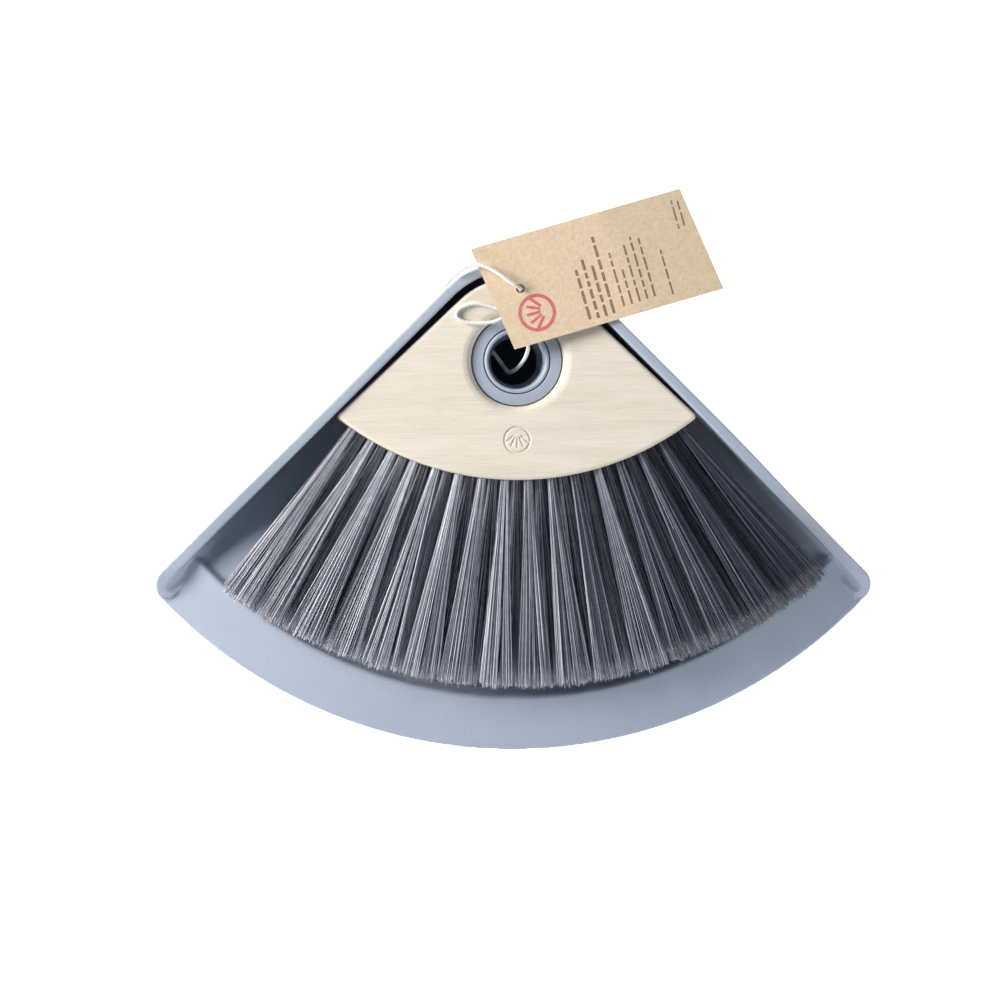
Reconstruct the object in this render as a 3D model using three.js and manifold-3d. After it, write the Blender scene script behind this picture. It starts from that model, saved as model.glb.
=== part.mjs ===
// A dust pan and brush set: a fan-shaped moulded pan with a hollow hub, a wooden brush head that drops over
// the hub with three rows of bristle tufts, and a card tag on a cotton string.
// Millimetres, +Z up, +Y towards the back of the pan. The origin is at ground level, midway along the pan's
// width and depth.
import * as THREE from "three";
import { mergeVertices } from "three/addons/utils/BufferGeometryUtils.js";
import Module from "manifold-3d";

const wasm = await Module();
wasm.setup();

// ---- driving dimensions ----
const PAN_DEPTH = 239; // back rim to front lip
const APEX_R = 49.2; // outside of the rim round the back, about the hub's axis
const HUB_Y = PAN_DEPTH / 2 - APEX_R;
const SIDE_ANGLE = Math.PI / 4; // the way that the pan's right-hand side faces
const LIP_R = 237.5; // the front lip is an arc about LIP_CENTRE_Y
const LIP_CENTRE_Y = LIP_R - PAN_DEPTH / 2;
const LIP_CORNER_R = 9;
const INNER_CORNER_R = 6.5;
const PAST_LIP = 0.3; // inner outlines run this far past the lip, so that the lip stays open

const FLANGE_WIDTH = 5;
const FLANGE_THICK = 2.2;
const WALL = 2;
const DRAFT = Math.tan(THREE.MathUtils.degToRad(1.2));
const RIM_TOP = 43; // rim height round the back
const RIM_FRONT = 14; // rim height just behind the front corners
const SKIRT_Y = [-18, -34]; // where the rim starts to deepen, and where it meets the ground
const FOOT = 3.4; // the basin's underside stands this far off the ground
const FOOT_CHAMFER = [1.2, 1.5]; // in and up, round the foot of the walls
const FLOOR_THICK = 2.2;
const FLOOR_TOP = FOOT + FLOOR_THICK;
const FILLET_R = 6; // between the walls and the basin's floor
const RAMP_WIDTH = 25; // lip to crest
const CREST = 9.6; // height of the ramp's crest
const RAMP_THICK = 2;
const STEP_RUN = 3.4; // the step behind the crest leans back by this much
const LIP_THICK = 1; // at the front edge
const LIP_LEVEL = 1.6; // the rim runs out at this height, into the lip
const PAN_FEET = [[-105, -12], [105, -12], [0, HUB_Y + 31]];
const PAN_FOOT_R = 5;

const HUB_TOP = 38.5;
const HUB_R = 16; // outside of the hub's tube
const BORE_R = 13.9; // the hub's mouth
const BORE_BOTTOM_R = 11.3;
const SHELF_TOP = 15.7; // the shoulder that the brush rests on
const SHELF_R = 20.3;

const BLOCK_BOTTOM = 16;
const BLOCK_TOP = 41;
const BLOCK_APEX_R = 40.6;
const BLOCK_SIDE_ANGLE = THREE.MathUtils.degToRad(46.6);
const BLOCK_FRONT_R = 141; // the front face is an arc about BLOCK_CENTRE_Y
const BLOCK_CENTRE_Y = HUB_Y + 83;
const BLOCK_CORNER_R = 2;
const BLOCK_ROUND = 1.4; // roundover on the block's edges
const EYE_R = 22.2; // hole in the block
const DISH_R = 26.6; // where the hole's wide roundover meets the top face
const DISH_DEPTH = 4;

const GROMMET_R = [16.6, 21.8];
const GROMMET_TOP = 38;

const TUFT_ROOT_R = 2;
const TUFT_TIP_HALF = [4.8, 1.7]; // half width and half thickness at the tips
const TUFT_HOLE_R = 2.4;
const TUFT_HOLE_DEPTH = 9;
const TUFT_TIP_R = 242; // the tips lie on an arc about BLOCK_CENTRE_Y
const TUFT_PITCH = THREE.MathUtils.degToRad(4.6);
const TUFT_ROWS = [
  { name: "upper", count: 16, rootZ: 36.2, tipZ: 21.4 },
  { name: "middle", count: 15, rootZ: 29.4, tipZ: 16.8 },
  { name: "lower", count: 16, rootZ: 22.6, tipZ: 12.2 },
];

const TAG_LENGTH = 106.5;
const TAG_WIDTH = 53.2;
const TAG_THICK = 0.6;
const TAG_CORNER = [-23, 54]; // back left corner, from the hub's axis
const TAG_ALONG = new THREE.Vector3(0.96, 0.28, 0).normalize();
const TAG_ACROSS = new THREE.Vector3(0.403, -0.915, 0).normalize();
const TAG_Z = 46; // underside at the holed end
const TAG_CREASE = 66; // along the tag
const TAG_SLOPES = [0.035, 0.14]; // fall per mm, before and after the crease
const TAG_HOLE = [1.2, 34.9]; // from the hub's axis
const TAG_HOLE_R = 2.2;

const STRING_R = 1;
const KNOT = [-4.5, 22.5, 43.3]; // from the hub's axis
const KNOT_R = [2.5, 2.2, 1.9];

// ---- materials ----
const material = (color, roughness) => new THREE.MeshStandardMaterial({ color, roughness, metalness: 0 });
const PAN_GREY = material(0xa9b1bf, 0.5);
const BEECH = material(0xeeddc4, 0.6);
const BRISTLE = material(0x4a4a52, 0.55);
const CARD = material(0xd2b88f, 0.9);
const COTTON = material(0xe6ddcc, 0.95);

// ---- making and joining solids ----
function solid(geometry) {
  const bare = geometry.clone();
  bare.deleteAttribute("normal");
  bare.deleteAttribute("uv");
  const merged = mergeVertices(bare, 1e-4);
  return new wasm.Manifold(
    new wasm.Mesh({
      numProp: 3,
      vertProperties: merged.attributes.position.array,
      triVerts: new Uint32Array(merged.index.array),
    }),
  );
}

function geometryOf(body) {
  const made = body.getMesh();
  const geometry = new THREE.BufferGeometry();
  geometry.setAttribute("position", new THREE.BufferAttribute(made.vertProperties, 3));
  geometry.setIndex(new THREE.BufferAttribute(made.triVerts, 1));
  return geometry;
}

// A ring or boss turned about a vertical axis at (0, y). The profile holds [radius, height] pairs and runs
// anticlockwise round its section.
function turned(profile, y, segments) {
  const points = [...profile, profile[0]].map(([r, z]) => new THREE.Vector2(r, z));
  return solid(new THREE.LatheGeometry(points, segments).rotateX(Math.PI / 2).translate(0, y, 0));
}

function cylinder(radius, low, high, x, y, sides) {
  const made = new THREE.CylinderGeometry(radius, radius, high - low, sides);
  return solid(made.rotateX(Math.PI / 2).translate(x, y, (low + high) / 2));
}

function arc(y, radius, from, to, steps) {
  return Array.from({ length: steps + 1 }, (_, i) => {
    const a = from + ((to - from) * i) / steps;
    return new THREE.Vector2(radius * Math.cos(a), y + radius * Math.sin(a));
  });
}

// A fan outline: an arc about the hub, two straight sides that face `side` and its mirror image, and a front
// arc of radius `frontR` about (0, frontY), with rounded corners between the sides and the front.
function fan({ apexR, side, frontR, frontY, corner, frontSteps = 48 }) {
  const normal = new THREE.Vector2(Math.cos(side), Math.sin(side));
  const along = new THREE.Vector2(normal.y, -normal.x);
  const start = normal.clone().multiplyScalar(apexR - corner).add(new THREE.Vector2(0, HUB_Y - frontY));
  const half = start.dot(along);
  const reach = Math.sqrt(half * half - start.lengthSq() + (frontR - corner) ** 2) - half;
  const centre = start.addScaledVector(along, reach);
  const front = centre.angle() - 2 * Math.PI;
  const round = arc(0, corner, front, side, 5).map((p) => p.add(centre).add(new THREE.Vector2(0, frontY)));
  const mirrored = round.map((p) => new THREE.Vector2(-p.x, p.y)).reverse();
  return [
    ...arc(frontY, frontR, -Math.PI - front, front, frontSteps),
    ...round.slice(1),
    ...arc(HUB_Y, apexR, side, Math.PI - side, 20),
    ...mirrored.slice(0, -1),
  ];
}

// A solid with one outline at each level. All the outlines hold the same number of points.
function loft(levels) {
  const steps = levels.length - 1;
  const first = levels[0].outline;
  const geometry = new THREE.ExtrudeGeometry(new THREE.Shape(first), {
    depth: steps,
    steps,
    bevelEnabled: false,
  });
  const place = geometry.attributes.position;
  for (let i = 0; i < place.count; i++) {
    const at = new THREE.Vector2(place.getX(i), place.getY(i));
    const nearest = first.findIndex((p) => p.distanceTo(at) < 1e-3);
    const { outline, z } = levels[Math.round(place.getZ(i))];
    place.setXYZ(i, outline[nearest].x, outline[nearest].y, z);
  }
  return solid(geometry);
}

const prism = (outline, low, high) => loft([{ outline, z: low }, { outline, z: high }]);

// A side view, as [y, z] pairs, run across the whole width.
function across(profile) {
  const width = 400;
  const made = new THREE.ExtrudeGeometry(new THREE.Shape(profile), { depth: width, bevelEnabled: false });
  const turn = new THREE.Matrix4().makeBasis(
    new THREE.Vector3(0, 1, 0),
    new THREE.Vector3(0, 0, 1),
    new THREE.Vector3(1, 0, 0),
  );
  return solid(made.applyMatrix4(turn).translate(-width / 2, 0, 0));
}

// ---- the pan ----
const panFan = (inset, frontR, corner) =>
  fan({ apexR: APEX_R - inset, side: SIDE_ANGLE, frontR, frontY: LIP_CENTRE_Y, corner });

// The rim's height seen from the side: level round the back, an S down the sides, and a short fall at the
// front corners on to the lip.
function rimLine() {
  const v = (y, z) => new THREE.Vector2(y, z);
  const fall = new THREE.CubicBezierCurve(v(46, RIM_TOP), v(16, RIM_TOP), v(6, RIM_FRONT), v(-28, RIM_FRONT));
  const corner = new THREE.CubicBezierCurve(
    v(-28, RIM_FRONT),
    v(-37.5, RIM_FRONT),
    v(-41, 6),
    v(-48, LIP_LEVEL),
  );
  return [v(130, RIM_TOP), ...fall.getPoints(16), ...corner.getPoints(8).slice(1), v(-130, LIP_LEVEL)];
}

function makePan() {
  // The flange is a thin ledge along the rim line. Towards the front corners it deepens into a solid skirt
  // that stands on the ground.
  const line = rimLine();
  const skirt = (y) => THREE.MathUtils.mapLinear(y, ...SKIRT_Y, RIM_FRONT - FLANGE_THICK, 0);
  const lowered = line
    .map((p) => new THREE.Vector2(p.x, Math.max(0, Math.min(p.y - FLANGE_THICK, skirt(p.x)))))
    .reverse();
  const underRim = across([...line, new THREE.Vector2(-130, -1), new THREE.Vector2(130, -1)]);
  const rimSheet = across([...line, ...lowered]);

  // The walls lean out by the draft angle, and a fillet runs round the foot of their inner faces.
  const lean = (z) => (RIM_TOP - z) * DRAFT;
  const wallInset = FLANGE_WIDTH - WALL;
  const outside = loft(
    [
      { z: FOOT, inset: wallInset + lean(FOOT) + FOOT_CHAMFER[0] },
      { z: FOOT + FOOT_CHAMFER[1], inset: wallInset + lean(FOOT + FOOT_CHAMFER[1]) },
      { z: RIM_TOP, inset: wallInset },
    ].map(({ z, inset }) => ({ z, outline: panFan(inset, LIP_R, LIP_CORNER_R - wallInset) })),
  );
  const hollowLevels = [0, 30, 60, 90].map((degrees) => {
    const turn = THREE.MathUtils.degToRad(degrees);
    const z = FLOOR_TOP + FILLET_R * (1 - Math.cos(turn));
    return { z, inset: FLANGE_WIDTH + lean(z) + FILLET_R * (1 - Math.sin(turn)) };
  });
  hollowLevels.push({ z: RIM_TOP + 1, inset: FLANGE_WIDTH + lean(RIM_TOP + 1) });
  const inside = (inset) => panFan(inset, LIP_R + PAST_LIP, INNER_CORNER_R);
  const hollow = loft(hollowLevels.map(({ z, inset }) => ({ z, outline: inside(inset) })));
  const flange = prism(panFan(0, LIP_R, LIP_CORNER_R), 0, RIM_TOP + 2)
    .intersect(rimSheet)
    .subtract(prism(inside(FLANGE_WIDTH), -1, RIM_TOP + 3));

  // The ramp: a lip on the ground, a slope up to a rounded crest, and a step down into the basin.
  const crestR = LIP_R - RAMP_WIDTH;
  const footR = crestR - STEP_RUN;
  const ramp = turned(
    [
      [footR - 2, FOOT],
      [footR + 0.5, FOOT],
      [crestR, CREST - RAMP_THICK - 0.4],
      [LIP_R - 4.5, 0],
      [LIP_R, 0],
      [LIP_R, LIP_THICK],
      [crestR + 1.2, CREST - 0.35],
      [crestR, CREST],
      [crestR - 1.1, CREST - 0.5],
      [footR, FLOOR_TOP + 0.15],
      [footR - 2, FLOOR_TOP],
    ],
    LIP_CENTRE_Y,
    240,
  ).intersect(prism(panFan(wallInset + 1, LIP_R + PAST_LIP, LIP_CORNER_R - wallInset - 1), -1, CREST + 1));
  const basin = cylinder(footR - 1, FOOT, FLOOR_TOP, 0, LIP_CENTRE_Y, 240);
  const beforeRamp = prism(inside(hollowLevels[0].inset), FOOT - 1, FLOOR_TOP).subtract(basin);

  // The hub: a tube with a funnelled bore, on a wider hollow shoulder that carries the brush.
  const hub = turned(
    [
      [BORE_BOTTOM_R, FOOT],
      [BORE_BOTTOM_R + WALL, FOOT],
      [BORE_R + 1, SHELF_TOP - WALL],
      [SHELF_R - WALL, SHELF_TOP - WALL],
      [SHELF_R - WALL + 0.4, FOOT],
      [SHELF_R + 0.6, FOOT],
      [SHELF_R, SHELF_TOP],
      [HUB_R, SHELF_TOP],
      [HUB_R - 0.1, HUB_TOP - 0.5],
      [HUB_R - 0.5, HUB_TOP],
      [BORE_R + 0.5, HUB_TOP],
      [BORE_R, HUB_TOP - 0.5],
      [BORE_R - 0.8, SHELF_TOP],
      [BORE_BOTTOM_R + 0.2, FOOT + 6],
    ],
    HUB_Y,
    40,
  );

  const walls = outside.intersect(underRim).add(flange).subtract(beforeRamp);
  let pan = walls.add(outside.intersect(basin)).subtract(hollow).add(ramp);
  pan = pan.subtract(cylinder(SHELF_R - 0.5, FOOT - 1, FLOOR_TOP + 1, 0, HUB_Y, 40)).add(hub);
  for (const [x, y] of PAN_FEET)
    pan = pan.add(cylinder(PAN_FOOT_R, 0, FOOT + 0.5, x, y, 16));
  return pan;
}

// ---- the brush ----
const rowsOfTufts = TUFT_ROWS.flatMap(({ name, count, rootZ, tipZ }) =>
  Array.from({ length: count }, (_, i) => {
    const angle = (i - (count - 1) / 2) * TUFT_PITCH;
    const out = new THREE.Vector3(Math.sin(angle), -Math.cos(angle), 0);
    const level = new THREE.Vector3(Math.cos(angle), Math.sin(angle), 0);
    const axis = new THREE.Vector3(0, BLOCK_CENTRE_Y, 0);
    const mouth = axis.clone().addScaledVector(out, BLOCK_FRONT_R).setZ(rootZ);
    const tip = axis.clone().addScaledVector(out, TUFT_TIP_R).setZ(tipZ);
    const way = tip.clone().sub(mouth).normalize();
    const root = mouth.clone().addScaledVector(way, 0.4 - TUFT_HOLE_DEPTH);
    const turn = new THREE.Matrix4().makeBasis(level, new THREE.Vector3().crossVectors(way, level), way);
    return { name: `tuft_${name}_${String(i + 1).padStart(2, "0")}`, mouth, tip, root, way, turn };
  }),
);

const blockFan = (inset) =>
  fan({
    apexR: BLOCK_APEX_R - inset,
    side: BLOCK_SIDE_ANGLE,
    frontR: BLOCK_FRONT_R - inset,
    frontY: BLOCK_CENTRE_Y,
    corner: BLOCK_CORNER_R - inset,
    frontSteps: 32,
  });

function makeBlock() {
  const rounded = [0, 45, 90].map((degrees) => {
    const turn = THREE.MathUtils.degToRad(degrees);
    return { inset: BLOCK_ROUND * (1 - Math.sin(turn)), rise: BLOCK_ROUND * (1 - Math.cos(turn)) };
  });
  let block = loft([
    ...rounded.map(({ inset, rise }) => ({ z: BLOCK_BOTTOM + rise, outline: blockFan(inset) })),
    ...rounded.reverse().map(({ inset, rise }) => ({ z: BLOCK_TOP - rise, outline: blockFan(inset) })),
  ]);
  const dish = [60, 30, 0].map((degrees) => {
    const turn = THREE.MathUtils.degToRad(degrees);
    return [
      DISH_R - (DISH_R - EYE_R) * Math.sin(turn),
      BLOCK_TOP - DISH_DEPTH * (1 - Math.cos(turn)),
    ];
  });
  const eye = [
    [0, BLOCK_BOTTOM - 1],
    [EYE_R, BLOCK_BOTTOM - 1],
    [EYE_R, BLOCK_TOP - DISH_DEPTH],
    ...dish,
    [DISH_R, BLOCK_TOP + 1],
    [0, BLOCK_TOP + 1],
  ];
  block = block.subtract(turned(eye, HUB_Y, 48));
  for (const { mouth, way, turn } of rowsOfTufts) {
    const past = 4;
    const drill = new THREE.CylinderGeometry(TUFT_HOLE_R, TUFT_HOLE_R, TUFT_HOLE_DEPTH + past, 10);
    drill.rotateX(Math.PI / 2).applyMatrix4(turn);
    const middle = mouth.clone().addScaledVector(way, (past - TUFT_HOLE_DEPTH) / 2);
    block = block.subtract(solid(drill.translate(middle.x, middle.y, middle.z)));
  }
  return block;
}

function makeGrommet() {
  const [inner, outer] = GROMMET_R;
  return turned(
    [
      [inner, BLOCK_BOTTOM],
      [outer, BLOCK_BOTTOM],
      [outer, GROMMET_TOP - 0.8],
      [outer - 0.8, GROMMET_TOP],
      [inner + 0.6, GROMMET_TOP],
      [inner, GROMMET_TOP - 0.6],
    ],
    HUB_Y,
    40,
  );
}

// A tuft widens sideways and flattens from its round root to its tip.
function makeTuft({ name, root, tip, turn }) {
  const length = root.distanceTo(tip);
  const [halfWidth, halfThick] = TUFT_TIP_HALF;
  const geometry = new THREE.CylinderGeometry(1, 1, length, 8).rotateX(Math.PI / 2).translate(0, 0, length / 2);
  const place = geometry.attributes.position;
  for (let i = 0; i < place.count; i++) {
    const atTip = place.getZ(i) > length / 2;
    place.setX(i, place.getX(i) * (atTip ? halfWidth : TUFT_ROOT_R));
    place.setY(i, place.getY(i) * (atTip ? halfThick : TUFT_ROOT_R));
  }
  const tuft = new THREE.Mesh(geometry, BRISTLE);
  tuft.name = name;
  tuft.position.copy(root);
  tuft.quaternion.setFromRotationMatrix(turn);
  return tuft;
}

// ---- the tag and its string ----
function makeTag() {
  const v = (s, z) => new THREE.Vector2(s, z);
  const creaseZ = -TAG_CREASE * TAG_SLOPES[0];
  const endZ = creaseZ - (TAG_LENGTH - TAG_CREASE) * TAG_SLOPES[1];
  const side = [v(0, 0), v(TAG_CREASE, creaseZ), v(TAG_LENGTH, endZ)];
  const section = [...side, ...side.map((p) => v(p.x, p.y + TAG_THICK)).reverse()];
  const card = new THREE.ExtrudeGeometry(new THREE.Shape(section), { depth: TAG_WIDTH, bevelEnabled: false });
  card.applyMatrix4(new THREE.Matrix4().makeBasis(TAG_ALONG, new THREE.Vector3(0, 0, 1), TAG_ACROSS));
  card.translate(TAG_CORNER[0], HUB_Y + TAG_CORNER[1], TAG_Z);
  const [x, y] = TAG_HOLE;
  return solid(card).subtract(cylinder(TAG_HOLE_R, TAG_Z - 4, TAG_Z + 4, x, HUB_Y + y, 20));
}

// The string's routes, from the hub's axis. The long one leaves the knot, rises through the tag's hole, goes
// over the back rim, down outside the wall, under the basin and up the hub's bore, back to the knot.
const LONG_ROUTE = [
  [-2.2, 24.3, 43.1],
  [0.5, 28, 42.7],
  [1.4, 32, 42.9],
  [1.3, 34.5, 44.8],
  [1.0, 35, 47.4],
  [-1.0, 36.2, 49.9],
  [-5, 38.8, 50.5],
  [-10.5, 42.7, 49.6],
  [-16, 45.4, 48.9],
  [-21, 46.2, 48],
  [-25.6, 45, 46.4],
  [-29.6, 42.2, 43.9],
  [-32.8, 39.3, 40.4],
  [-34.6, 36.6, 35.8],
  [-35, 34.8, 28],
  [-34.8, 34, 18],
  [-34.6, 33.8, 9],
  [-34, 33.2, 4.6],
  [-32.2, 31.6, 2],
  [-28.4, 28, 1.6],
  [-18.5, 15.5, 1.6],
  [-9.8, 4.6, 1.6],
  [-6.6, 0.4, 2.4],
  [-4.6, -2.6, 5],
  [-3.6, -4.4, 9.5],
  [-2.6, -5.3, 15],
  [-0.8, -4.6, 21.5],
  [2, -2, 28],
  [4.2, 1.6, 34],
  [5.3, 6, 39.4],
  [4.8, 10.6, 42],
  [2.8, 15.4, 42.7],
  [0.6, 18.9, 42.7],
  [-1.7, 21.2, 42.9],
];
const BOW_ROUTE = [
  [-7.2, 24.1, 42.9],
  [-11, 25.6, 42.4],
  [-15.6, 27, 42.3],
  [-20.8, 27.7, 42.3],
  [-25.7, 26.5, 42.3],
  [-29, 24.3, 42.3],
  [-29.7, 21.6, 42.3],
  [-26.8, 19.2, 42.3],
  [-21.6, 18.1, 42.3],
  [-15.6, 18.2, 42.3],
  [-10.8, 19, 42.4],
  [-7.2, 20.7, 42.9],
];

function makeString(name, route, steps) {
  const points = route.map(([x, y, z]) => new THREE.Vector3(x, HUB_Y + y, z));
  const path = new THREE.CatmullRomCurve3(points, false, "centripetal");
  const section = Array.from({ length: 8 }, (_, i) => {
    const turn = (i * Math.PI) / 4;
    return new THREE.Vector2(STRING_R * Math.cos(turn), STRING_R * Math.sin(turn));
  });
  const tube = new THREE.ExtrudeGeometry(new THREE.Shape(section), { steps, extrudePath: path });
  const string = new THREE.Mesh(tube, COTTON);
  string.name = name;
  return string;
}

function makeKnot() {
  const knot = new THREE.Mesh(new THREE.SphereGeometry(1, 10, 6), COTTON);
  knot.name = "string_knot";
  knot.position.set(KNOT[0], HUB_Y + KNOT[1], KNOT[2]);
  knot.scale.set(...KNOT_R);
  return knot;
}

// ---- the set ----
function mesh(name, body, look) {
  const made = new THREE.Mesh(geometryOf(body), look);
  made.name = name;
  return made;
}

const pan = new THREE.Group().add(mesh("pan_shell", makePan(), PAN_GREY));
const brush = new THREE.Group().add(
  mesh("brush_block", makeBlock(), BEECH),
  mesh("hub_grommet", makeGrommet(), PAN_GREY),
  ...rowsOfTufts.map(makeTuft),
);
const tag = new THREE.Group().add(
  mesh("hang_tag", makeTag(), CARD),
  makeKnot(),
  makeString("tag_string", LONG_ROUTE, 64),
  makeString("string_bow", BOW_ROUTE, 16),
);

export default new THREE.Group().add(pan, brush, tag);
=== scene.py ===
"""A dust pan and brush set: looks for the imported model. Metres, +Z up, +Y towards the back of the pan."""

import math

import bmesh
import bpy
import numpy as np
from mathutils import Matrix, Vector


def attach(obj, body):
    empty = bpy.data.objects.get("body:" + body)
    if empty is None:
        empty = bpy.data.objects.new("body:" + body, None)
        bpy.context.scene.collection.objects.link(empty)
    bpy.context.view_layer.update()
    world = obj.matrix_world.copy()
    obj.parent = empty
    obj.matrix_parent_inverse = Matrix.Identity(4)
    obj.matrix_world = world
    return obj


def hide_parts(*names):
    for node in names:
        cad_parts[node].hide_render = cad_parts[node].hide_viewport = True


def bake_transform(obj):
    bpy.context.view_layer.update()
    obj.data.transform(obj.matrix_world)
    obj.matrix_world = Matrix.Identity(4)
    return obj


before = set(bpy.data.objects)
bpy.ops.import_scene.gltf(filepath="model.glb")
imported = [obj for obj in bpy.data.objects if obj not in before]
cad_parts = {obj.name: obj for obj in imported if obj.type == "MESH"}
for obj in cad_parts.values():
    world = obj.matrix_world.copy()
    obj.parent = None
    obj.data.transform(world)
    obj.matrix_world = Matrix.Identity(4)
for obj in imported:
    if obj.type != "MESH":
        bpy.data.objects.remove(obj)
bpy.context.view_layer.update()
MM = 0.001

# ---- places and sizes shared with the CAD, in millimetres ----
HUB_Y = 70.3
BLOCK_CENTRE_Y = 153.3
BLOCK_FRONT_R = 141.0
BLOCK_TOP = 41.0
TUFT_TIP_R = 242.0
TUFT_PITCH = math.radians(4.6)
TUFT_ROWS = (("upper", 16, 36.2, 21.4), ("middle", 15, 29.4, 16.8), ("lower", 16, 22.6, 12.2))
TUFT_HOLE_DEPTH = 9.0
TAG_CORNER = np.array([-23.0, 54.0 + HUB_Y])
TAG_ALONG = np.array([0.96, 0.28])
TAG_ACROSS = np.array([0.403, -0.915]) / math.hypot(0.403, 0.915)
TAG_LENGTH, TAG_WIDTH, TAG_THICK = 106.5, 53.2, 0.6
TAG_Z, TAG_CREASE, TAG_SLOPES = 46.0, 66.0, (0.035, 0.14)
TAG_HOLE = np.array([1.2, 34.9 + HUB_Y])
TAG_HOLE_R = 2.2
STRING_D = 2.0
KNOT = np.array([-4.5, 22.5 + HUB_Y, 43.3])

BORE_PAINTED_SHADE_R = (34.0, 44.0)  # painted shade: the floor is painted dark within the first of these, about the hub's axis, and is pale beyond the second

# The string's routes, from the hub's axis at ground level.
LONG_ROUTE = (
    (-2.2, 24.3, 43.1), (0.5, 28, 42.7), (1.4, 32, 42.9), (1.3, 34.5, 44.8), (1.0, 35, 47.4),
    (-1.0, 36.2, 49.9), (-5, 38.8, 50.4), (-10.5, 42.7, 49.8), (-16, 45.4, 49.3), (-21, 46.2, 48.7),
    (-25.6, 45, 47.4), (-29.6, 42.2, 44.9), (-32.8, 39.3, 41.1), (-34.6, 36.6, 36), (-35, 34.8, 28),
    (-34.8, 34, 18), (-34.6, 33.8, 9), (-34, 33.2, 4.6), (-32.2, 31.6, 2), (-28.4, 28, 1.6),
    (-18.5, 15.5, 1.6), (-9.8, 4.6, 1.6), (-6.6, 0.4, 2.4), (-4.6, -2.6, 5), (-3.6, -4.4, 9.5),
    (-2.6, -5.3, 15), (-0.8, -4.6, 21.5), (2, -2, 28), (4.2, 1.6, 34), (5.3, 6, 39.4),
    (4.8, 10.6, 42), (2.8, 15.4, 42.7), (0.6, 18.9, 42.7), (-1.7, 21.2, 42.9),
)
BOW_ROUTE = (
    (-7.2, 24.1, 42.9), (-11, 25.6, 42.4), (-15.6, 27, 42.3), (-20.8, 27.7, 42.3), (-25.7, 26.5, 42.3),
    (-29, 24.3, 42.3), (-29.7, 21.6, 42.3), (-26.8, 19.2, 42.3), (-21.6, 18.1, 42.3), (-15.6, 18.2, 42.3),
    (-10.8, 19, 42.4), (-7.2, 20.7, 42.9),
)


# ---- camera: looking down on the set, from a little to its left ----
def add_camera():
    distance, across = 4.98, 0.4850  # from the block's top, and the width seen there
    target, lean = Vector((-0.0084, 0.0026, BLOCK_TOP * MM)), Vector((-0.05, 0.0, 1.0))
    data = bpy.data.cameras.new("camera")
    data.sensor_width = 36.0
    data.lens = data.sensor_width * distance / across
    data.clip_end = 50.0
    camera = bpy.data.objects.new("camera", data)
    camera.location = target + lean * distance
    camera.rotation_euler = (0.0, math.atan(lean.x), 0.0)
    bpy.context.scene.collection.objects.link(camera)
    bpy.context.scene.camera = camera


add_camera()


# ---- node materials ----
class Shader:
    """A material and short ways to add and join its nodes."""

    def __init__(self, name):
        self.material = bpy.data.materials.new(name)
        self.material.use_nodes = True
        self.tree = self.material.node_tree
        self.surface = self.tree.nodes["Principled BSDF"]
        self.place = self.add("ShaderNodeTexCoord").outputs["Object"]

    def add(self, kind, **settings):
        made = self.tree.nodes.new(kind)
        for key, value in settings.items():
            setattr(made, key, value)
        return made

    def join(self, source, socket):
        self.tree.links.new(source, socket)

    def stretched(self, scale):
        made = self.add("ShaderNodeMapping")
        made.inputs["Scale"].default_value = scale
        self.join(self.place, made.inputs["Vector"])
        return made.outputs["Vector"]

    def noise(self, scale, detail=3.0, rough=0.5, distort=0.0, place=None):
        made = self.add("ShaderNodeTexNoise")
        self.join(place or self.place, made.inputs["Vector"])
        made.inputs["Scale"].default_value = scale
        made.inputs["Detail"].default_value = detail
        made.inputs["Roughness"].default_value = rough
        made.inputs["Distortion"].default_value = distort
        return made.outputs["Fac"]

    def ramp(self, source, stops):
        made = self.add("ShaderNodeValToRGB")
        while len(made.color_ramp.elements) < len(stops):
            made.color_ramp.elements.new(0.5)
        for element, (at, colour) in zip(made.color_ramp.elements, stops):
            element.position = at
            element.color = (*colour, 1.0) if len(colour) == 3 else colour
        self.join(source, made.inputs["Fac"])
        return made.outputs["Color"]

    def mixed(self, factor, one, other, blend="MIX"):
        made = self.add("ShaderNodeMix", data_type="RGBA", blend_type=blend)
        for source, key in ((factor, "Factor"), (one, "A"), (other, "B")):
            socket = made.inputs[key]
            if hasattr(source, "is_linked"):
                self.join(source, socket)
            else:
                socket.default_value = source if isinstance(source, float) else (*source, 1.0)
        return next(o for o in made.outputs if o.type == "RGBA")

    def scaled(self, source, low, high):
        made = self.add("ShaderNodeMapRange")
        made.inputs["To Min"].default_value = low
        made.inputs["To Max"].default_value = high
        self.join(source, made.inputs["Value"])
        return made.outputs["Result"]

    def bump(self, height, depth, strength=1.0):
        made = self.add("ShaderNodeBump")
        made.inputs["Distance"].default_value = depth
        made.inputs["Strength"].default_value = strength
        self.join(height, made.inputs["Height"])
        self.join(made.outputs["Normal"], self.surface.inputs["Normal"])


def grey(value):
    return (value, value, value)


def pan_plastic():
    """Satin moulded plastic, blue-grey, with a very fine spark-eroded texture and faint flow shading."""
    s = Shader("pan_plastic")
    flow = s.noise(14, 2.0, distort=1.4)
    tint = s.ramp(flow, [(0.3, (0.40, 0.445, 0.53)), (0.7, (0.43, 0.475, 0.56))])
    specks = s.ramp(s.noise(900, 2.0), [(0.3, grey(0.94)), (0.6, grey(1.0))])
    s.join(s.mixed(1.0, tint, specks, "MULTIPLY"), s.surface.inputs["Base Color"])
    s.join(s.scaled(s.noise(60, 3.0), 0.4, 0.56), s.surface.inputs["Roughness"])
    s.surface.inputs["Specular IOR Level"].default_value = 0.45
    s.bump(s.noise(1700, 2.0), 0.00005, 0.35)
    return s.material


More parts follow.
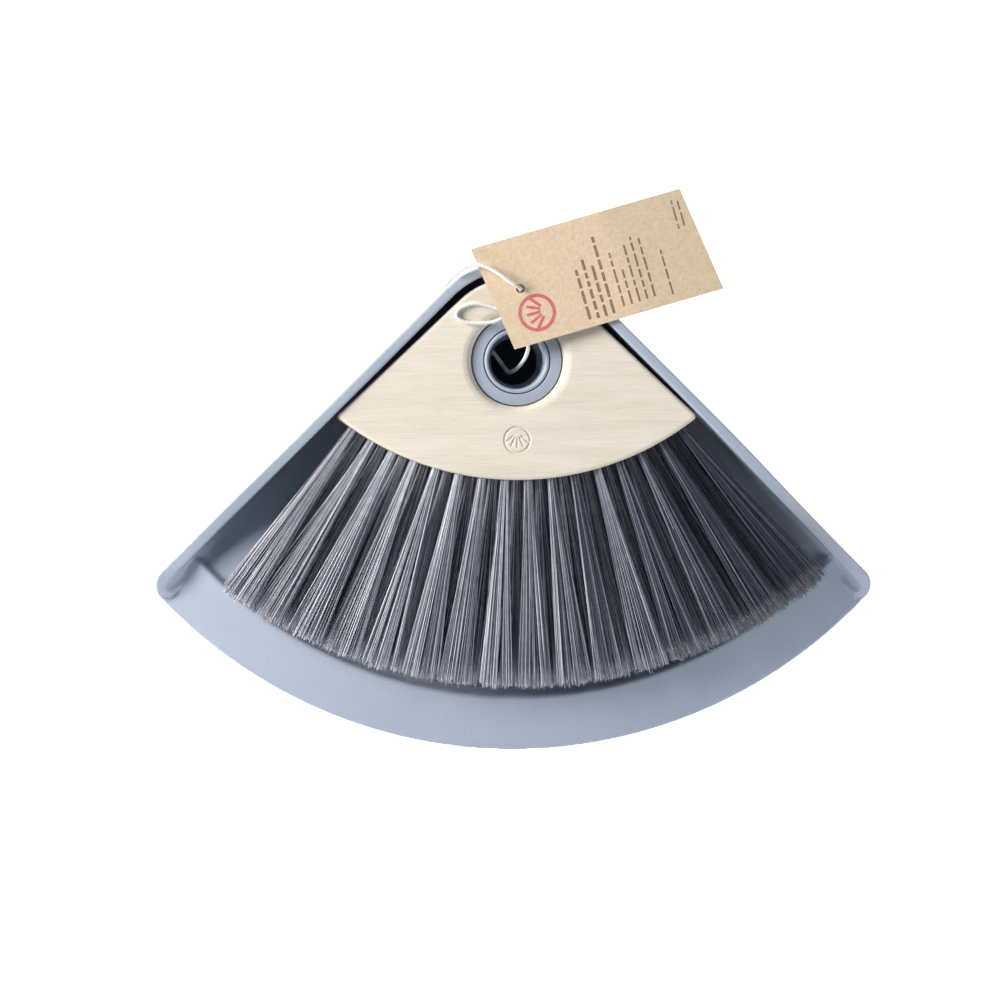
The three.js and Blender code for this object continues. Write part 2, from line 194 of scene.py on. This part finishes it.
def beech():
    """Pale unlacquered beech: long soft streaks along X, fine pores and short brown ray flecks."""
    s = Shader("beech")
    bands = s.noise(1.0, 4.0, 0.6, 0.6, s.stretched((14, 150, 90)))
    woods = [(0.3, (0.775, 0.67, 0.545)), (0.5, (0.82, 0.725, 0.605)), (0.72, (0.85, 0.765, 0.655))]
    pale = s.ramp(bands, woods)
    fine = s.noise(1.0, 3.0, 0.55, 0.3, s.stretched((45, 1500, 900)))
    lines = s.ramp(fine, [(0.32, grey(0.9)), (0.56, grey(1.0))])
    flecks = s.noise(1.0, 1.0, 0.4, 0.0, s.stretched((300, 3400, 2600)))
    fleck_ink = s.ramp(flecks, [(0.25, (0.90, 0.84, 0.76)), (0.33, grey(1.0))])
    colour = s.mixed(1.0, s.mixed(1.0, pale, lines, "MULTIPLY"), fleck_ink, "MULTIPLY")
    s.join(colour, s.surface.inputs["Base Color"])
    s.join(s.scaled(lines, 0.68, 0.55), s.surface.inputs["Roughness"])
    s.surface.inputs["Specular IOR Level"].default_value = 0.3
    s.bump(lines, 0.00012, 0.5)
    return s.material


def bristle():
    """Synthetic bristle: each filament has its own random grey, and its tuft adds painted light and shade,
    lighter on the left and darker on the right; both are held in the mesh's shade attribute.
    """
    s = Shader("bristle")
    # the attribute holds each filament's random grey with its tuft's painted light and shade
    own = s.add("ShaderNodeAttribute", attribute_name="shade").outputs["Fac"]
    tones = [
        (0.0, (0.035, 0.035, 0.06)),
        (0.12, (0.10, 0.10, 0.14)),
        (0.45, (0.52, 0.52, 0.59)),
        (1.0, (0.94, 0.94, 1.0)),
    ]
    tone = s.ramp(own, tones)
    dust = s.ramp(s.noise(260, 2.0), [(0.35, grey(0.85)), (0.65, grey(1.0))])
    s.join(s.mixed(1.0, tone, dust, "MULTIPLY"), s.surface.inputs["Base Color"])
    s.join(s.scaled(s.noise(90, 2.0), 0.22, 0.32), s.surface.inputs["Roughness"])
    s.surface.inputs["Specular IOR Level"].default_value = 0.7
    return s.material


def kraft():
    """Recycled brown card: mottled pulp with dark and light fibres."""
    s = Shader("kraft_card")
    pulp = s.ramp(s.noise(420, 6.0, 0.75), [(0.3, (0.72, 0.535, 0.35)), (0.7, (0.88, 0.68, 0.475))])
    dark_strands = s.noise(1500, 3.0, 0.7, 1.6, s.stretched((1.0, 0.4, 1.0)))
    fibres = s.ramp(dark_strands, [(0.32, grey(0.72)), (0.45, grey(1.0))])
    light_strands = s.noise(1900, 2.0, 0.6, 1.2, s.stretched((0.4, 1.0, 1.0)))
    light = s.ramp(light_strands, [(0.6, grey(0.0)), (0.72, grey(0.4))])
    colour = s.mixed(light, s.mixed(1.0, pulp, fibres, "MULTIPLY"), (0.82, 0.70, 0.54))
    s.join(colour, s.surface.inputs["Base Color"])
    s.join(s.scaled(fibres, 0.95, 0.82), s.surface.inputs["Roughness"])
    s.surface.inputs["Specular IOR Level"].default_value = 0.2
    s.bump(s.noise(1100, 4.0, 0.7), 0.00008, 0.5)
    return s.material


def ink(name, colour):
    """Print on card: the ink breaks up a little on the fibres."""
    s = Shader(name)
    worn = s.ramp(s.noise(1400, 3.0, 0.7), [(0.36, grey(0.0)), (0.5, grey(1.0))])
    pale = tuple(c * 0.72 + 0.2 for c in colour)
    s.join(s.mixed(worn, pale, colour), s.surface.inputs["Base Color"])
    s.join(s.scaled(worn, 0.9, 0.75), s.surface.inputs["Roughness"])
    s.surface.inputs["Specular IOR Level"].default_value = 0.2
    return s.material


def cotton():
    """Bleached cotton string: soft fibres with a little sheen."""
    s = Shader("cotton")
    fluff = s.noise(2600, 3.0, 0.7)
    whites = s.ramp(fluff, [(0.3, (0.70, 0.66, 0.60)), (0.6, (0.90, 0.885, 0.85))])
    s.join(whites, s.surface.inputs["Base Color"])
    s.join(s.scaled(fluff, 0.98, 0.88), s.surface.inputs["Roughness"])
    s.surface.inputs["Sheen Weight"].default_value = 0.25
    s.surface.inputs["Specular IOR Level"].default_value = 0.15
    s.bump(fluff, 0.00012, 0.7)
    return s.material


def pale_floor():
    """A plain pale studio floor that glows a little, so that it stays white round the set. Under the hub it
    is painted dark and does not glow: a painted shade, which only the bore shows."""
    s = Shader("floor")
    s.join(s.scaled(s.noise(40, 2.0), 0.85, 0.95), s.surface.inputs["Roughness"])
    s.surface.inputs["Specular IOR Level"].default_value = 0.0
    s.surface.inputs["Emission Color"].default_value = (1.0, 1.0, 1.0, 1.0)
    around = s.add("ShaderNodeMapping")
    around.inputs["Location"].default_value = (0, -HUB_Y * MM, 0)
    s.join(s.place, around.inputs["Vector"])
    away = s.add("ShaderNodeVectorMath", operation="LENGTH")
    s.join(around.outputs["Vector"], away.inputs[0])
    fade = s.add("ShaderNodeMapRange")
    for key, radius in zip(("From Min", "From Max"), BORE_PAINTED_SHADE_R):
        fade.inputs[key].default_value = radius * MM
    s.join(away.outputs["Value"], fade.inputs["Value"])
    # outside the painted shade: 0 under the hub, rising to 1 beyond it
    outside_painted_shade = fade.outputs["Result"]
    s.join(s.scaled(outside_painted_shade, 0.0, 0.85), s.surface.inputs["Emission Strength"])
    pale = s.ramp(s.noise(3, 2.0), [(0.3, grey(0.86)), (0.7, grey(0.88))])
    # painted shade: near black under the hub, the pale floor elsewhere
    s.join(s.mixed(outside_painted_shade, (0.03, 0.035, 0.05), pale), s.surface.inputs["Base Color"])
    return s.material


PAN_PLASTIC = pan_plastic()
BEECH = beech()
BRISTLE = bristle()
KRAFT = kraft()
COTTON = cotton()
RED_INK = ink("red_ink", (0.70, 0.135, 0.13))
BROWN_INK = ink("brown_ink", (0.27, 0.165, 0.095))


# ---- mesh helpers ----
def link(name, mesh, *materials):
    obj = bpy.data.objects.new(name, mesh)
    bpy.context.scene.collection.objects.link(obj)
    for material in materials:
        mesh.materials.append(material)
    return obj


def mesh_of(name, points, faces, smooth=True):
    mesh = bpy.data.meshes.new(name)
    places = [tuple(p) for p in np.asarray(points, float)]
    mesh.from_pydata(places, [], [tuple(int(i) for i in face) for face in faces])
    mesh.polygons.foreach_set("use_smooth", [smooth] * len(mesh.polygons))
    mesh.update()
    return mesh


def stand_for(obj, body, slot, *nodes):
    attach(obj, body)
    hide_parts(*nodes)


def evaluated(obj):
    """obj's mesh with its modifiers applied, as its own mesh."""
    made = bpy.data.meshes.new_from_object(obj.evaluated_get(bpy.context.evaluated_depsgraph_get()))
    obj.modifiers.clear()
    obj.data = made
    made.polygons.foreach_set("use_smooth", [True] * len(made.polygons))
    return made


EASE_ROUNDS = 3


def softened(node, name, voxel, rounds):
    """A fine copy of a CAD node with its sharp edges eased, as moulding and sanding leave them."""
    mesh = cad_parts[node].data.copy()
    mesh.materials.clear()
    bm = bmesh.new()
    bm.from_mesh(mesh)
    bmesh.ops.remove_doubles(bm, verts=bm.verts, dist=1e-6)
    bm.to_mesh(mesh)
    bm.free()
    obj = link(name, mesh)
    remesh = obj.modifiers.new("fine", "REMESH")
    remesh.mode, remesh.voxel_size = "VOXEL", voxel
    smooth = obj.modifiers.new("ease", "SMOOTH")
    smooth.factor, smooth.iterations = 0.5, rounds
    evaluated(obj)
    return obj


# ---- the pan ----
def make_pan():
    pan = softened("pan_shell", "pan_moulding", (0.6) * MM, EASE_ROUNDS)
    pan.data.materials.append(PAN_PLASTIC)
    stand_for(pan, "pan", "pan_plastic", "pan_shell")


# ---- the brush's wooden block ----
# The plain mark on the wood and on the tag: a ring round a small fan of strokes. Lengths are shares of the
# ring's radius, and the strokes' half width is a share of the ring's width.
MARK_FOOT = 0.52
MARK_REACH = (0.35, 1.08)
MARK_STROKE = 0.42
MARK_DEGREES = (-50, -25, 0, 25, 50)


def in_mark(x, y, radius, stroke):
    """Whether each point is in the mark, which is centred on the origin."""
    r = np.hypot(x, y)
    ring = np.abs(r - radius + stroke / 2) < stroke / 2
    strokes = np.zeros_like(ring)
    foot = np.array([0.0, radius * MARK_FOOT])
    for degrees in MARK_DEGREES:
        way = np.array([math.sin(math.radians(degrees)), -math.cos(math.radians(degrees))])
        along = (x - foot[0]) * way[0] + (y - foot[1]) * way[1]
        aside = np.abs((x - foot[0]) * way[1] - (y - foot[1]) * way[0])
        within = (along > radius * MARK_REACH[0]) & (along < radius * MARK_REACH[1])
        strokes |= (aside < stroke * MARK_STROKE) & within
    return ring | strokes


def press_mark(mesh, centre, radius, stroke, depth):
    """Presses the mark into the block's top face, on a finer grid than the rest of the block."""
    bm = bmesh.new()
    bm.from_mesh(mesh)

    def near(v, reach):
        return (
            v.co.z > (BLOCK_TOP - 1) * MM
            and math.hypot(v.co.x - centre[0], v.co.y - centre[1]) < reach
        )

    edges = [e for e in bm.edges if all(near(v, radius * 1.12) for v in e.verts)]
    bmesh.ops.subdivide_edges(bm, edges=edges, cuts=2, use_grid_fill=True)
    for v in bm.verts:
        if near(v, radius * 1.1):
            x, y = np.array([v.co.x - centre[0]]), np.array([v.co.y - centre[1]])
            if in_mark(x, y, radius, stroke)[0]:
                v.co.z -= depth
    bm.normal_update()
    bm.to_mesh(mesh)
    bm.free()
    mesh.polygons.foreach_set("use_smooth", [True] * len(mesh.polygons))


def make_block():
    block = softened("brush_block", "beech_block", (0.45) * MM, EASE_ROUNDS)
    centre = (0.0, (HUB_Y - 38.5) * MM)
    press_mark(block.data, centre, radius=6.8 * MM, stroke=1.2 * MM, depth=0.32 * MM)
    block.data.materials.append(BEECH)
    stand_for(block, "brush", "beech", "brush_block")


def lathe(name, profile, segments):
    """A closed ring turned about the hub's axis from [radius, height] pairs in millimetres."""
    count = len(profile)
    turns = [2 * math.pi * i / segments for i in range(segments)]
    points = [
        (r * math.cos(a) * MM, (HUB_Y + r * math.sin(a)) * MM, z * MM) for a in turns for r, z in profile
    ]
    faces = [
        (i * count + j, ((i + 1) % segments) * count + j,
         ((i + 1) % segments) * count + (j + 1) % count, i * count + (j + 1) % count)
        for i in range(segments)
        for j in range(count)
    ]
    return mesh_of(name, points, faces)


def rounded(corner, start, radius, steps=5):
    """A quarter round for a profile, whose centre is `corner`, from the `start` angle on."""
    return [
        (corner[0] + radius * math.cos(start + math.pi / 2 * i / steps),
         corner[1] + radius * math.sin(start + math.pi / 2 * i / steps))
        for i in range(steps + 1)
    ]


def make_grommet():
    inner, outer, low, high, edge = 16.3, 21.8, 16.0, 38.0, 0.4
    profile = [(inner, low), (outer, low), (outer, high - edge - 0.4), (outer, high - edge - 0.05)]
    profile += rounded((outer - edge, high - edge), 0.0, edge)
    profile += [(outer - edge - 0.3, high), (inner + edge + 0.3, high)]
    profile += rounded((inner + edge, high - edge), math.pi / 2, edge)
    profile += [(inner, high - edge - 0.05), (inner, high - edge - 0.4)]
    ring = link("grommet_ring", lathe("grommet_ring", profile, 160), PAN_PLASTIC)
    stand_for(ring, "brush", "pan_plastic", "hub_grommet")


# ---- the bristles ----
FILAMENTS = 105  # in each tuft
FILAMENT_R = 0.2
BUNDLE_R = 2.05
SEGMENTS = 9
SIDES = 5
GOLDEN_ANGLE = 2.39996
TIP_HALF_WIDTH = (7.8, 9.8)
TIP_THICKEN = 1.9  # half thickness of the flat fan of tips
LOCKS = 7  # the tips gather into this many locks
LOCK_REACH = 8.8
LOCK_PULL = 0.3
STRAYS = 0.04  # share of filaments that stray sideways
SHORT = 0.08  # share of filaments that end short
RIGHT_SPLAY = 10.5  # how far the outermost tufts on the right lean out at their tips
SPLAY_ANGLE = 0.6


def tuft_mesh(name, angle, root_z, tip_z, rng):
    out = np.array([math.sin(angle), -math.cos(angle), 0.0])
    level = np.array([math.cos(angle), math.sin(angle), 0.0])
    mouth = np.array([0, BLOCK_CENTRE_Y, root_z]) + out * BLOCK_FRONT_R
    tip = np.array([0, BLOCK_CENTRE_Y, tip_z]) + out * TUFT_TIP_R
    way = (tip - mouth) / np.linalg.norm(tip - mouth)
    up = np.cross(way, level)
    root = mouth - way * (TUFT_HOLE_DEPTH - 0.4)
    length = np.linalg.norm(tip - root)

    # Where each filament stands in the round bundle, and where it ends in the flat fan of tips.
    k = np.arange(FILAMENTS) + 0.5
    spiral = np.sqrt(k / FILAMENTS)[:, None] * np.c_[np.cos(k * GOLDEN_ANGLE), np.sin(k * GOLDEN_ANGLE)]
    start = spiral * (BUNDLE_R - FILAMENT_R)
    end = np.c_[spiral[:, 0] * rng.uniform(*TIP_HALF_WIDTH), spiral[:, 1] * TIP_THICKEN]
    locks = np.sort(rng.uniform(-LOCK_REACH, LOCK_REACH, LOCKS))
    nearest = locks[np.abs(end[:, :1] - locks).argmin(1)]
    own_drift, tuft_drift = rng.normal(0, 0.75, FILAMENTS), rng.normal(0, 0.9)
    end[:, 0] += (nearest - end[:, 0]) * LOCK_PULL + own_drift + tuft_drift
    end[:, 1] += rng.normal(0, 0.35, FILAMENTS)
    stray = rng.random(FILAMENTS) < STRAYS
    end[stray, 0] += rng.normal(0, 3.0, stray.sum())
    end[:, 0] += RIGHT_SPLAY * max(0.0, angle / SPLAY_ANGLE) ** 5
    reach = length + rng.normal(0, 0.9, FILAMENTS) - np.abs(end[:, 0]) * 0.12 - 0.4
    reach -= (rng.random(FILAMENTS) < SHORT) * rng.uniform(1.5, 6.0, FILAMENTS)
    reach += 1.6 * math.sin(angle)
    bend = rng.normal(0, 0.35, (FILAMENTS, 2)) * (1, 0.5)

    s = np.linspace(0, 1, SEGMENTS + 1)
    past_mouth = (s * length - TUFT_HOLE_DEPTH + 1.5) / (length - TUFT_HOLE_DEPTH)
    open_share = np.clip(past_mouth, 0, 1) ** 1.12
    aside = start[:, None] + (end - start)[:, None] * open_share[None, :, None]
    aside += bend[:, None] * (np.sin(math.pi * open_share) * open_share)[None, :, None]
    centre = root + aside[..., :1] * level + aside[..., 1:] * up
    centre = centre + (reach[:, None] * s)[..., None] * way
    radius = FILAMENT_R * (1 - 0.3 * s**8)
    turn = 2 * math.pi * np.arange(SIDES) / SIDES
    ring = np.cos(turn)[:, None] * level + np.sin(turn)[:, None] * up
    points = centre[:, :, None] + radius[None, :, None, None] * ring[None, None]
    points = points.reshape(-1, 3) * MM

    rows, size = SEGMENTS + 1, (SEGMENTS + 1) * SIDES
    r, c = np.meshgrid(np.arange(rows - 1), np.arange(SIDES), indexing="ij")
    n = (c + 1) % SIDES
    one = np.stack([r * SIDES + c, r * SIDES + n, (r + 1) * SIDES + n, (r + 1) * SIDES + c], -1)
    every = one.reshape(1, -1, 4) + (np.arange(FILAMENTS) * size)[:, None, None]
    faces = every.reshape(-1, 4).tolist()
    first, last = list(range(SIDES))[::-1], [size - SIDES + i for i in range(SIDES)]
    for f in range(FILAMENTS):
        faces.append([f * size + i for i in first])
        faces.append([f * size + i for i in last])
    mesh = mesh_of(name, points, faces)
    painted_side_light = min(1.45, 1.35 - 1.8 * angle)  # painted light and shade: the tufts are painted lighter on the left and darker to the right
    # each filament's random grey times its tuft's painted light and shade
    shade = np.repeat(rng.beta(1.2, 2.9, FILAMENTS) * painted_side_light, size)
    grey_and_painted_light = mesh.attributes.new("shade", "FLOAT", "POINT")
    grey_and_painted_light.data.foreach_set("value", shade.astype(np.float32))
    return mesh


def make_tufts():
    rng = np.random.default_rng(14)
    for row, count, root_z, tip_z in TUFT_ROWS:
        for i in range(count):
            node = f"tuft_{row}_{i + 1:02d}"
            angle = (i - (count - 1) / 2) * TUFT_PITCH
            mesh = tuft_mesh(node, angle, root_z, tip_z, rng)
            tuft = link(f"bristles_{row}_{i + 1:02d}", mesh, BRISTLE)
            stand_for(tuft, "brush", "bristle", node)


# ---- the string ----
def smooth_route(route, step):
    """Points in metres every `step` millimetres along a centripetal Catmull-Rom curve through the route."""
    p = np.array(route, float) + (0, HUB_Y, 0)
    p = np.vstack([2 * p[0] - p[1], p, 2 * p[-1] - p[-2]])
    dense = []
    for a, b, c, d in zip(p, p[1:], p[2:], p[3:]):
        knots = np.cumsum([0, *(np.linalg.norm(v - u) ** 0.5 for u, v in ((a, b), (b, c), (c, d)))])
        t0, t1, t2, t3 = knots
        t = np.linspace(t1, t2, 30, endpoint=False)[:, None]
        ab = ((t1 - t) * a + (t - t0) * b) / (t1 - t0)
        bc = ((t2 - t) * b + (t - t1) * c) / (t2 - t1)
        cd = ((t3 - t) * c + (t - t2) * d) / (t3 - t2)
        abc = ((t2 - t) * ab + (t - t0) * bc) / (t2 - t0)
        bcd = ((t3 - t) * bc + (t - t1) * cd) / (t3 - t1)
        dense.append(((t2 - t) * abc + (t - t1) * bcd) / (t2 - t1))
    return evenly(np.vstack([*dense, p[-2:-1]]), step) * MM


def evenly(points, step):
    run = np.concatenate([[0], np.cumsum(np.linalg.norm(np.diff(points, axis=0), axis=1))])
    at = np.linspace(0, run[-1], max(2, round(run[-1] / step)) + 1)
    return np.stack([np.interp(at, run, points[:, i]) for i in range(3)], 1)


def twisted(name, path, radius, lay, closed=False, plies=3, sides=24):
    """A plied string along a path in metres. Its section has a lobe for each ply and turns once in each
    `lay`."""
    ahead = np.roll(path, -1, 0) if closed else np.vstack([path[1:], 2 * path[-1] - path[-2]])
    behind = np.roll(path, 1, 0) if closed else np.vstack([2 * path[0] - path[1], path[:-1]])
    tangent = ahead - behind
    tangent /= np.linalg.norm(tangent, axis=1)[:, None]
    side = np.cross(tangent[0], (0, 0, 1.0))
    if np.linalg.norm(side) < 0.1:
        side = np.cross(tangent[0], (0, 1.0, 0))
    sides_at = []
    for t in tangent:
        side = side - t * (side @ t)
        side /= np.linalg.norm(side)
        sides_at.append(side)
    side = np.array(sides_at)
    other = np.cross(tangent, side)
    run = np.concatenate([[0], np.cumsum(np.linalg.norm(np.diff(path, axis=0), axis=1))])
    turns = max(1, round(run[-1] / lay)) / run[-1] if closed else 1 / lay
    angle = 2 * math.pi * np.arange(sides) / sides
    twist = 2 * math.pi * run * turns
    lobes = 0.87 + 0.13 * np.cos(plies * (angle[None] - twist[:, None]))
    loose = 1 + 0.03 * np.sin(run * 2900 + 1.3) + 0.02 * np.sin(run * 7100)
    r = (radius * lobes * loose[:, None])[..., None]
    across = np.cos(angle)[None, :, None] * side[:, None] + np.sin(angle)[None, :, None] * other[:, None]
    points = path[:, None] + r * across
    count = len(path)
    rows = count if closed else count - 1
    faces = [
        (i * sides + j, i * sides + (j + 1) % sides,
         ((i + 1) % count) * sides + (j + 1) % sides, ((i + 1) % count) * sides + j)
        for i in range(rows)
        for j in range(sides)
    ]
    if not closed:
        faces.append(tuple(range(sides))[::-1])
        faces.append(tuple((count - 1) * sides + j for j in range(sides)))
    return mesh_of(name, points.reshape(-1, 3), faces)


def make_knot():
    """The overhand knot that holds the string's loop and bow."""
    t = np.linspace(0, 2 * math.pi, 180, endpoint=False)
    curve = np.stack([np.sin(t) + 2 * np.sin(2 * t), np.cos(t) - 2 * np.cos(2 * t), -np.sin(3 * t)], 1)
    path = (KNOT + curve * (1.5 / 2.8, 1.25 / 2.8, 1.0)) * MM
    knot = link("cotton_knot", twisted("cotton_knot", path, 0.92 * MM, 4.5 * MM, closed=True), COTTON)
    stand_for(knot, "brush", "cotton", "string_knot")
    return knot


def make_string():
    knot = make_knot()
    radius, lay = STRING_D / 2 * MM, 4.6 * MM
    for node, name, route, pieces in (
        ("tag_string", "cotton_loop", LONG_ROUTE, [knot]),
        ("string_bow", "cotton_bow", BOW_ROUTE, []),
    ):
        path = smooth_route(route, 0.35)
        string = link(name, twisted(name, path, radius, lay), COTTON)
        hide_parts(node)
        if node == "tag_string":
            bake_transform(string)
        else:
            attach(string, "brush")


# ---- the tag ----
PRINT_LIFT = 0.03


def card_height(u):
    """The top of the card at `u` along it, in millimetres: it falls a little more past an eased crease."""
    ease = 5.0
    flat, steep = TAG_SLOPES
    past = u - TAG_CREASE
    bent = np.where(past < -ease, 0.0, np.where(past > ease, past, (past + ease) ** 2 / (4 * ease)))
    return TAG_Z + TAG_THICK - flat * u - (steep - flat) * bent


def on_card(u, w, lift=0.0):
    """A point on the card's top, `u` along its long edge and `w` square to that edge, in metres."""
    square = np.array([TAG_ALONG[1], -TAG_ALONG[0]])
    place = TAG_CORNER + np.multiply.outer(u, TAG_ALONG) + np.multiply.outer(w, square)
    slant = (TAG_ACROSS @ TAG_ALONG) / (TAG_ACROSS @ square)
    z = card_height(np.asarray(u, float) - np.asarray(w, float) * slant) + lift
    return np.concatenate([place, np.expand_dims(z, -1)], -1) * MM


def strip(points, faces, start, end, half):
    """Adds a flat printed stroke between two places on the card, cut into short lengths that follow it."""
    start, end = np.array(start, float), np.array(end, float)
    run = np.linalg.norm(end - start)
    side = np.array([-(end - start)[1], (end - start)[0]]) / run * half
    steps = max(1, round(run / 1.5))
    base = len(points)
    for i in range(steps + 1):
        at = start + (end - start) * i / steps
        for p in (at - side, at + side):
            points.append(on_card(p[0], p[1], PRINT_LIFT))
    faces += [(base + 2 * i, base + 2 * i + 1, base + 2 * i + 3, base + 2 * i + 2) for i in range(steps)]


def upward(mesh):
    """Turns a flat printed mesh so that every face looks up."""
    bm = bmesh.new()
    bm.from_mesh(mesh)
    bmesh.ops.reverse_faces(bm, faces=[f for f in bm.faces if f.normal.z < 0])
    bm.to_mesh(mesh)
    bm.free()


def red_mark():
    """The plain mark as a printed roundel."""
    centre, radius, stroke = np.array([22.5, 38.6]), 9.2, 1.7
    points, faces = [], []
    for i in range(72):
        a, b = (2 * math.pi * j / 72 for j in (i, i + 1))
        base = len(points)
        for angle, r in ((a, radius), (b, radius), (b, radius - stroke), (a, radius - stroke)):
            u, w = centre + r * np.array([math.cos(angle), math.sin(angle)])
            points.append(on_card(u, w, PRINT_LIFT))
        faces.append((base, base + 1, base + 2, base + 3))
    foot = centre + (radius * MARK_FOOT, 0)
    for degrees in MARK_DEGREES:
        way = np.array([-math.cos(math.radians(degrees)), math.sin(math.radians(degrees))])
        start, end = (foot + way * radius * reach for reach in MARK_REACH)
        strip(points, faces, start, end, stroke * MARK_STROKE)
    mesh = mesh_of("red_mark", points, faces, smooth=False)
    upward(mesh)
    return mesh


# Rows of plain bars where such a tag has its small print: distance along, the two ends across, half height.
BARS = (
    (46.4, 49.0, 24.0, 0.72), (50.6, 49.5, 20.0, 0.72), (54.6, 49.7, 22.0, 0.72), (58.5, 49.4, 9.0, 0.72),
    (64.2, 47.5, 20.5, 0.5), (68.2, 47.5, 30.0, 0.5), (72.2, 47.3, 17.5, 0.5), (76.1, 47.2, 15.8, 0.5),
    (80.0, 47.0, 17.5, 0.5), (88.8, 48.6, 26.0, 0.45), (100.6, 18.8, 4.5, 0.4), (103.6, 18.0, 5.0, 0.4),
)


def printed_bars():
    rng = np.random.default_rng(5)
    points, faces = [], []
    for u, start, end, half in BARS:
        at = start
        while at > end + 1.5:
            word = min(rng.uniform(2.6, 7.5), at - end)
            strip(points, faces, (u, at), (u, at - word), half)
            at -= word + 1.3
    mesh = mesh_of("printed_bars", points, faces, smooth=False)
    upward(mesh)
    return mesh


def make_tag():
    step = 1.0
    us, vs = (np.linspace(0, size, round(size / step) + 1) for size in (TAG_LENGTH, TAG_WIDTH))
    grid_u, grid_v = np.meshgrid(us, vs, indexing="ij")
    place = TAG_CORNER + grid_u[..., None] * TAG_ALONG + grid_v[..., None] * TAG_ACROSS
    top = np.concatenate([place, card_height(grid_u)[..., None]], -1)
    below = top - (0, 0, TAG_THICK)
    rows, cols = grid_u.shape
    points = np.concatenate([top.reshape(-1, 3), below.reshape(-1, 3)]) * MM
    under = rows * cols
    faces = []
    for i in range(rows - 1):
        for j in range(cols - 1):
            a, b, c, d = i * cols + j, i * cols + j + 1, (i + 1) * cols + j + 1, (i + 1) * cols + j
            faces += [(a, b, c, d), (under + d, under + c, under + b, under + a)]
    rim = [(i, 0) for i in range(rows)] + [(rows - 1, j) for j in range(1, cols)]
    rim += [(i, cols - 1) for i in range(rows - 2, -1, -1)] + [(0, j) for j in range(cols - 2, 0, -1)]
    loop = [i * cols + j for i, j in rim]
    faces += [(a, b, under + b, under + a) for a, b in zip(loop, loop[1:] + loop[:1])]
    card = link("kraft_tag", mesh_of("kraft_tag", points, faces, smooth=False), KRAFT)
    bm = bmesh.new()
    bm.from_mesh(card.data)
    bmesh.ops.recalc_face_normals(bm, faces=bm.faces)
    bm.to_mesh(card.data)
    bm.free()

    at_hole = (TAG_HOLE[0] * MM, TAG_HOLE[1] * MM, TAG_Z * MM)
    bpy.ops.mesh.primitive_cylinder_add(
        vertices=48, radius=TAG_HOLE_R * MM, depth=10 * MM, location=at_hole
    )
    punch = bpy.context.object
    cut = card.modifiers.new("hole", "BOOLEAN")
    cut.operation, cut.object, cut.solver = "DIFFERENCE", punch, "EXACT"
    bpy.context.view_layer.update()
    made = bpy.data.meshes.new_from_object(card.evaluated_get(bpy.context.evaluated_depsgraph_get()))
    card.modifiers.clear()
    card.data = made
    bpy.data.objects.remove(punch)

    bm = bmesh.new()
    bm.from_mesh(made)
    for index, print_mesh in enumerate((red_mark(), printed_bars()), 1):
        before = set(bm.faces)
        bm.from_mesh(print_mesh)
        for face in set(bm.faces) - before:
            face.material_index = index
    made.materials.clear()
    for material in (KRAFT, RED_INK, BROWN_INK):
        made.materials.append(material)
    bm.to_mesh(made)
    bm.free()
    stand_for(card, "tag", "card", "hang_tag")


make_string()
make_pan()
make_block()
make_grommet()
make_tufts()
make_tag()


# ---- floor and light ----
def area_light(name, place, target, size, power, colour=(1.0, 1.0, 1.0)):
    data = bpy.data.lights.new(name, "AREA")
    data.shape, data.size, data.size_y = "ELLIPSE", *size
    data.energy, data.color = power, colour
    light = bpy.data.objects.new(name, data)
    light.location = place
    light.rotation_euler = (Vector(target) - Vector(place)).to_track_quat("-Z", "Y").to_euler()
    bpy.context.scene.collection.objects.link(light)


def add_studio():
    half, z = 4.0, -0.0003
    corners = [(-half, -half, z), (half, -half, z), (half, half, z), (-half, half, z)]
    floor = link("floor", mesh_of("floor", corners, [(0, 1, 2, 3)], smooth=False), pale_floor())
    world = bpy.data.worlds.new("studio")
    world.use_nodes = True
    tree = world.node_tree
    sky = tree.nodes["Background"]
    sky.inputs["Color"].default_value = (0.72, 0.86, 1.0, 1.0)
    direction = tree.nodes.new("ShaderNodeTexCoord")
    split = tree.nodes.new("ShaderNodeSeparateXYZ")
    tree.links.new(direction.outputs["Generated"], split.inputs["Vector"])
    height = tree.nodes.new("ShaderNodeMapRange")
    for key, value in (("From Min", 0.35), ("From Max", 0.95), ("To Min", 0.62), ("To Max", 0.08)):
        height.inputs[key].default_value = value
    tree.links.new(split.outputs["Z"], height.inputs["Value"])
    tree.links.new(height.outputs["Result"], sky.inputs["Strength"])
    bpy.context.scene.world = world
    area_light("key", (-1.6, 0.62, 0.9), (0, 0, 0), (1.2, 0.8), 60.0, (1.0, 0.98, 0.955))
    area_light("fill", (1.0, -1.75, 0.8), (0, 0, 0), (1.8, 0.5), 17.0)
    bpy.context.scene.view_settings.view_transform = "Standard"


add_studio()
